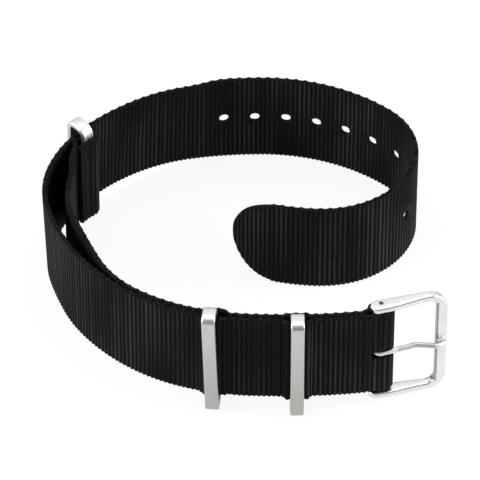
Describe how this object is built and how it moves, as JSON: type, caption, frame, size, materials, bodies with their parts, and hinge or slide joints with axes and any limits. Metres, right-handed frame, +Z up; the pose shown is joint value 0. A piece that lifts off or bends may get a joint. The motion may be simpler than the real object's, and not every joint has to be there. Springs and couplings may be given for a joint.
{
  "type": "pass-through watch strap",
  "caption": "Woven one-piece pass-through watch strap with pin buckle and rectangular metal keepers, curled loosely and standing on its edge.",
  "frame": {"origin": "the middle of the underside of the whole strap as it stands on its edge", "axes": "+Z up along the webbing's width, +X along the near run towards the buckle's bar, +Y to the back of the loop"},
  "size_m": [0.0864, 0.0852, 0.0273],
  "materials": {
    "webbing": "black ribbed nylon weave with a light sheen",
    "satin_steel": "satin brushed",
    "polished_steel": "polished"
  },
  "bodies": {
    "strap": {"long_strap": "webbing", "short_strap": "webbing", "spring_bar_tube": "satin_steel", "spring_bar_spring": "satin_steel"},
    "buckle": {"buckle_frame": "polished_steel"},
    "tang": {"buckle_tang": "polished_steel"},
    "front_keeper": {"keeper_front": "satin_steel"},
    "middle_keeper": {"keeper_middle": "satin_steel"},
    "end_keeper": {"keeper_end": "satin_steel"},
    "upper_tip": {"spring_bar_tip_upper": "satin_steel"},
    "lower_tip": {"spring_bar_tip_lower": "satin_steel"}
  },
  "joints": [
    {"name": "buckle_pivot", "type": "hinge", "parent": "strap", "child": "buckle", "pos_m": [0.02909, -0.03509, 0.0137], "axis": [0, 0, 1], "range_deg": [-20, 45]},
    {"name": "tang_pivot", "type": "hinge", "parent": "buckle", "child": "tang", "pos_m": [0.02909, -0.03509, 0.0137], "axis": [0, 0, -1], "range_deg": [0, 75]},
    {"name": "keeper_front_swing", "type": "hinge", "parent": "strap", "child": "front_keeper", "pos_m": [0.01154, -0.03807, 0.01355], "axis": [0, 0, 1], "range_deg": [-5, 5]},
    {"name": "keeper_middle_swing", "type": "hinge", "parent": "strap", "child": "middle_keeper", "pos_m": [-0.00593, -0.03626, 0.00004], "axis": [-0.0295, 0.0033, 0.9996], "range_deg": [-5, 5]},
    {"name": "keeper_end_swing", "type": "hinge", "parent": "strap", "child": "end_keeper", "pos_m": [-0.03413, 0.02035, 0.01355], "axis": [0, 0, 1], "range_deg": [-5, 5]},
    {"name": "spring_bar_tip_upper_push", "type": "slide", "parent": "strap", "child": "upper_tip", "axis": [0, 0, -1], "range_m": [0, 0.0014], "stiffness_N_per_m": 300, "springref_m": -0.001, "deforming": ["spring_bar_spring"]},
    {"name": "spring_bar_tip_lower_push", "type": "slide", "parent": "strap", "child": "lower_tip", "axis": [0, 0, 1], "range_m": [0, 0.0014], "stiffness_N_per_m": 300, "springref_m": -0.001, "deforming": ["spring_bar_spring"]}
  ]
}
